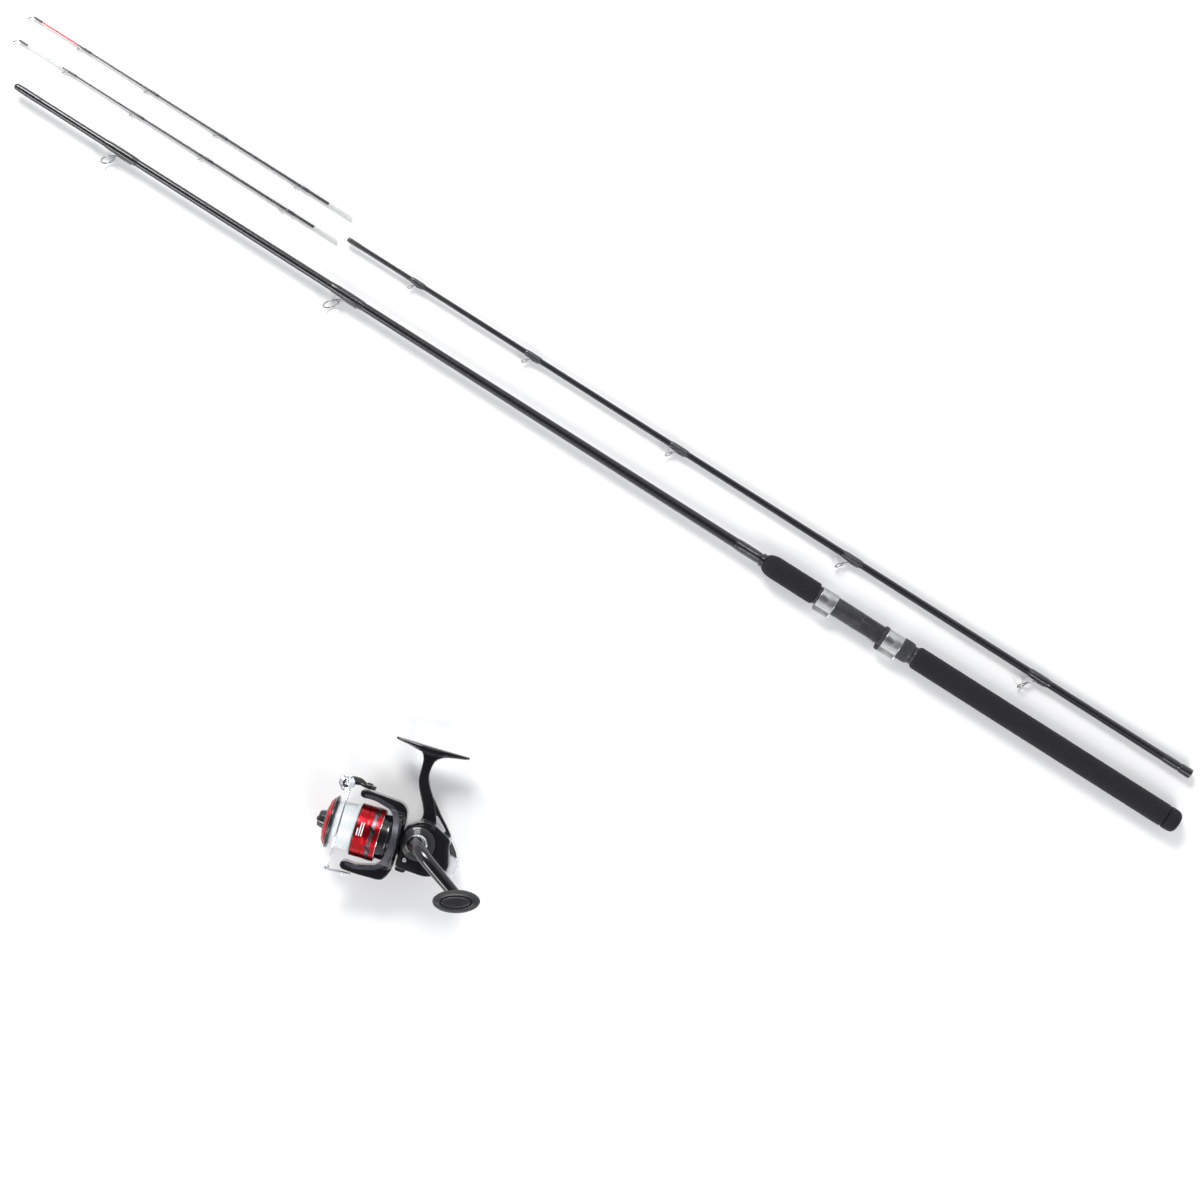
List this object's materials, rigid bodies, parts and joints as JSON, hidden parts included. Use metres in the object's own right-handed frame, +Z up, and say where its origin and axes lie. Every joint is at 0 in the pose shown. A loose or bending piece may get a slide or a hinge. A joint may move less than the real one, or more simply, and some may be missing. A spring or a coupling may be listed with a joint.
{
  "type": "fishing rod and reel",
  "caption": "Feeder rod taken apart into butt, tip and quiver tips, with a front-drag spinning reel lying beside it.",
  "frame": {"origin": "on the surface the kit lies on, under the middle of the whole layout", "axes": "+X along the rod sections towards the butt cap, +Z up, away from the surface"},
  "size_m": [1.251, 0.5002, 0.1162],
  "materials": {
    "carbon_blank": "gloss black lacquer over fibre",
    "whipping": "black thread under varnish, grey wire",
    "white_tip": "white painted tip on a dark blank",
    "red_tip": "red painted tip on a dark blank",
    "grip_foam": "fine closed-cell foam",
    "seat_plastic": "satin moulded plastic",
    "hood_metal": "brushed stainless",
    "gloss_black": "glossy black moulding",
    "satin_black": "satin black moulding",
    "chrome": "polished chrome",
    "clear_cover": "translucent clear plastic",
    "red_spool": "red anodised aluminium",
    "line": "clear monofilament",
    "bearing_steel": "ground steel",
    "gear_metal": "die cast",
    "brass": "machined",
    "felt": "felt"
  },
  "bodies": {
    "butt_section": {"butt_blank": "carbon_blank", "butt_guide_1": "whipping", "butt_guide_2": "whipping", "winding_check": "hood_metal", "fore_grip": "grip_foam", "seat_barrel": "seat_plastic", "fixed_hood": "hood_metal", "rear_grip": "grip_foam", "butt_cap": "grip_foam"},
    "seat_hood": {"moving_hood": "hood_metal", "moving_hood_lip": "seat_plastic"},
    "seat_nut": {"lock_nut": "seat_plastic"},
    "tip_section": {"tip_blank": "carbon_blank", "ferrule_sleeve": "whipping", "tip_guide_1": "whipping", "tip_guide_2": "whipping", "tip_guide_3": "whipping", "tip_guide_4": "whipping", "tip_guide_5": "whipping"},
    "white_quiver": {"white_quiver_tip": "white_tip"},
    "red_quiver": {"red_quiver_tip": "red_tip"},
    "reel_body": {"housing": "gloss_black", "side_cap": "satin_black", "bearing_left": "bearing_steel", "bearing_right": "bearing_steel", "pinion_bearing": "bearing_steel", "side_cover": "gloss_black", "rear_cover": "clear_cover", "rear_trim": "chrome", "cover_screw_1": "hood_metal", "cover_screw_2": "hood_metal"},
    "reel_lever": {"anti_reverse_lever": "satin_black"},
    "crank": {"drive_shaft": "bearing_steel", "drive_gear": "gear_metal", "handle_collar": "chrome", "handle_arm": "gloss_black", "knob_spindle": "satin_black"},
    "crank_knob": {"handle_knob": "satin_black", "knob_cap": "satin_black"},
    "rotor_body": {"rotor": "gloss_black", "rotor_nut": "brass", "pinion_gear": "brass"},
    "bail": {"bail_arm": "gloss_black", "bail_wire": "chrome", "bail_holder": "chrome", "bail_pivot_screw_1": "hood_metal", "bail_pivot_screw_2": "hood_metal", "roller_cone": "chrome", "roller_pin": "bearing_steel"},
    "roller": {"line_roller": "hood_metal"},
    "reel_shaft": {"main_shaft": "bearing_steel", "oscillation_slider": "gear_metal"},
    "spool": {"spool_core": "gloss_black", "wound_line": "line", "spool_skirt": "red_spool", "spool_front_ring": "red_spool", "spool_front_disc": "gloss_black", "drag_washer": "felt", "drag_plate": "bearing_steel"},
    "drag_cap": {"drag_knob": "gloss_black"}
  },
  "joints": [
    {"name": "tip_section_lift", "type": "slide", "parent": "butt_section", "child": "tip_section", "axis": [0, 0, 1], "range_m": [0, 0.3]},
    {"name": "white_quiver_lift", "type": "slide", "parent": "butt_section", "child": "white_quiver", "axis": [0, 0, 1], "range_m": [0, 0.3]},
    {"name": "red_quiver_lift", "type": "slide", "parent": "butt_section", "child": "red_quiver", "axis": [0, 0, 1], "range_m": [0, 0.3]},
    {"name": "reel_lift", "type": "slide", "parent": "butt_section", "child": "reel_body", "axis": [0, 0, 1], "range_m": [0, 0.3]},
    {"name": "hood_slide", "type": "slide", "parent": "butt_section", "child": "seat_hood", "axis": [-1, 0, 0], "range_m": [0, 0.024]},
    {"name": "nut_turn", "type": "hinge", "parent": "seat_hood", "child": "seat_nut", "pos_m": [0.33753, 0.18774, 0.0106], "axis": [-1, 0, 0], "range_deg": [0, 2880]},
    {"name": "crank_turn", "type": "hinge", "parent": "reel_body", "child": "crank", "pos_m": [0.06431, -0.18593, 0.048], "axis": [0, 0, 1], "continuous": true},
    {"name": "knob_spin", "type": "hinge", "parent": "crank", "child": "crank_knob", "pos_m": [0.11878, -0.2028, 0.088], "axis": [0, 0, 1], "continuous": true},
    {"name": "rotor_spin", "type": "hinge", "parent": "reel_body", "child": "rotor_body", "pos_m": [0.04629, -0.19571, 0.028], "axis": [-0.9622, -0.2723, 0], "continuous": true},
    {"name": "bail_flip", "type": "hinge", "parent": "rotor_body", "child": "bail", "pos_m": [0.01165, -0.20551, 0.028], "axis": [0.2723, -0.9622, 0], "range_deg": [0, 90], "stiffness_Nm_per_rad": 0.02, "springref_deg": -34.38},
    {"name": "roller_spin", "type": "hinge", "parent": "bail", "child": "roller", "pos_m": [-0.01674, -0.17384, 0.043], "axis": [0, 0, 1], "continuous": true},
    {"name": "spool_stroke", "type": "slide", "parent": "reel_body", "child": "reel_shaft", "axis": [-0.9622, -0.2723, 0], "range_m": [-0.004, 0.006]},
    {"name": "spool_drag", "type": "hinge", "parent": "reel_shaft", "child": "spool", "pos_m": [0.0078, -0.2066, 0.028], "axis": [-0.9622, -0.2723, 0], "continuous": true},
    {"name": "drag_knob_turn", "type": "hinge", "parent": "reel_shaft", "child": "drag_cap", "pos_m": [-0.01722, -0.21368, 0.028], "axis": [-0.9622, -0.2723, 0], "range_deg": [-360, 720]},
    {"name": "lever_flip", "type": "hinge", "parent": "reel_body", "child": "reel_lever", "pos_m": [0.06285, -0.21492, 0.028], "axis": [-0.2723, 0.9622, 0], "range_deg": [0, 24]}
  ],
  "couplings": [
    {"joint": "rotor_spin", "follows": "crank_turn", "ratio": -4.875},
    {"joint": "nut_turn", "follows": "hood_slide", "rad_per_m": 2094.4}
  ]
}
